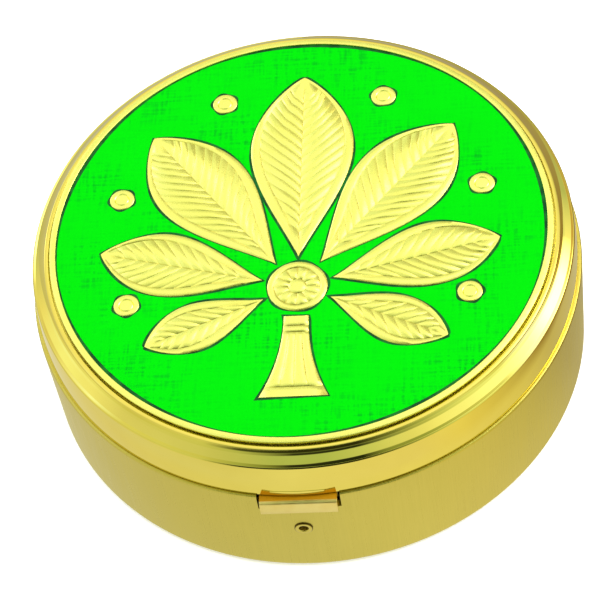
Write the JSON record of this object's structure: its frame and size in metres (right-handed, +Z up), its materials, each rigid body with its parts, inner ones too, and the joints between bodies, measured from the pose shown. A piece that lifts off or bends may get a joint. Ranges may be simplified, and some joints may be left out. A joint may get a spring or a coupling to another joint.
{
  "type": "pill box",
  "caption": "Round shallow gold-plated brass pill box with a hinged lid, a thumb catch at the front and an enamelled medallion with a raised palmette in the lid.",
  "frame": {"origin": "centre of the flat underside, on the box's own axis", "axes": "+Z up through the lid, -Y towards the thumb catch, +Y towards the hinge, +X to the right when facing the catch"},
  "size_m": [0.06, 0.0623, 0.0201],
  "materials": {
    "satin_gold": "satin, brushed upright round the wall",
    "polished_gold": "polished plating",
    "relief_gold": "pale gold plating with a soft sheen and engraved lines",
    "spring_gold": "bright plating on spring brass",
    "green_enamel": "glossy cold enamel, slightly mottled"
  },
  "bodies": {
    "base": {"base_cup": "satin_gold", "base_collar": "polished_gold", "base_hinge_leaf": "satin_gold", "hinge_pin": "spring_gold", "catch_rivet": "spring_gold"},
    "lid": {"lid_shell": "polished_gold", "lid_hinge_leaf": "satin_gold", "lid_strike": "spring_gold", "medallion_plate": "relief_gold", "enamel_ground": "green_enamel"},
    "catch": {"catch_spring": "spring_gold"}
  },
  "joints": [
    {"name": "lid_hinge", "type": "hinge", "parent": "base", "child": "lid", "pos_m": [0, 0.0306, 0.01385], "axis": [-1, 0, 0], "range_deg": [0, 105]},
    {"name": "catch_flex", "type": "hinge", "parent": "base", "child": "catch", "pos_m": [0, -0.0286, 0.0079], "axis": [-1, 0, 0], "range_deg": [0, 5], "stiffness_Nm_per_rad": 0.15}
  ]
}
